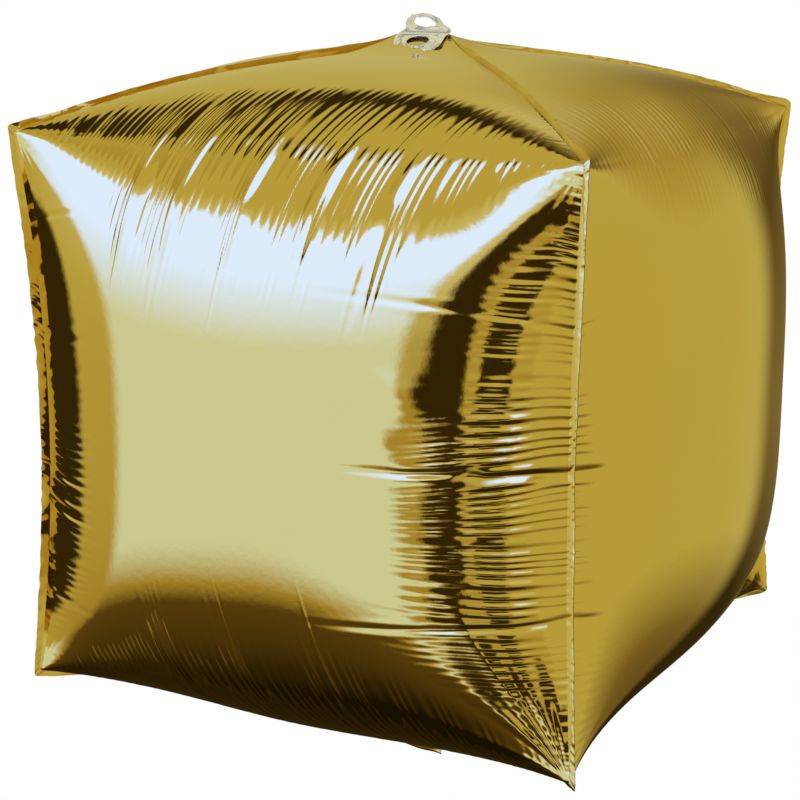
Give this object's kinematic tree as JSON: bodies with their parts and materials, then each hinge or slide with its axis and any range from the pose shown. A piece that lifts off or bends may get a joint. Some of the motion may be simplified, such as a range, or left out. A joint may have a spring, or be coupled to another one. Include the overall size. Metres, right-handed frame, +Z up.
{
  "type": "cube-shaped foil balloon",
  "caption": "Inflated cube of mirror-gold foil film with puckered edge seams, a two-ply hang tab with holes on top and a flat inflation neck hanging below.",
  "frame": {"origin": "the middle of the hang tab's root line, at the top pole on the balloon's upright axis, where it is hung from", "axes": "+Z up; -Y towards the front panel, which is the larger face in view; +X towards the right panel; the root lines of tab and neck run along X"},
  "size_m": [0.3804, 0.3804, 0.4183],
  "materials": {
    "gold_film": "mirror-bright gold lacquer over metallised nylon film",
    "tab_film": "same film, gold outside and silver on the inner face that the open tab shows",
    "clear_film": "clear polyethylene, glossy"
  },
  "bodies": {
    "belly": {"front_panel": "gold_film", "right_panel": "gold_film", "back_panel": "gold_film", "left_panel": "gold_film", "valve_front_film": "clear_film", "valve_back_film": "clear_film"},
    "tab_front": {"hang_tab_front_ply": "tab_film"},
    "tab_back": {"hang_tab_back_ply": "tab_film"},
    "neck": {"neck_front_ply": "gold_film", "neck_back_ply": "gold_film"}
  },
  "joints": [
    {"name": "front_tab_fold", "type": "hinge", "parent": "belly", "child": "tab_front", "pos_m": [0, -0.00026, 0.00028], "axis": [-1, 0, 0], "range_deg": [0, 96], "stiffness_Nm_per_rad": 0.0001},
    {"name": "back_tab_fold", "type": "hinge", "parent": "belly", "child": "tab_back", "pos_m": [0, 0.00026, 0.00028], "axis": [1, 0, 0], "range_deg": [-31, 63], "stiffness_Nm_per_rad": 0.0001},
    {"name": "neck_fold", "type": "hinge", "parent": "belly", "child": "neck", "pos_m": [0, 0, -0.36145], "axis": [1, 0, 0], "range_deg": [-95, 95]}
  ]
}
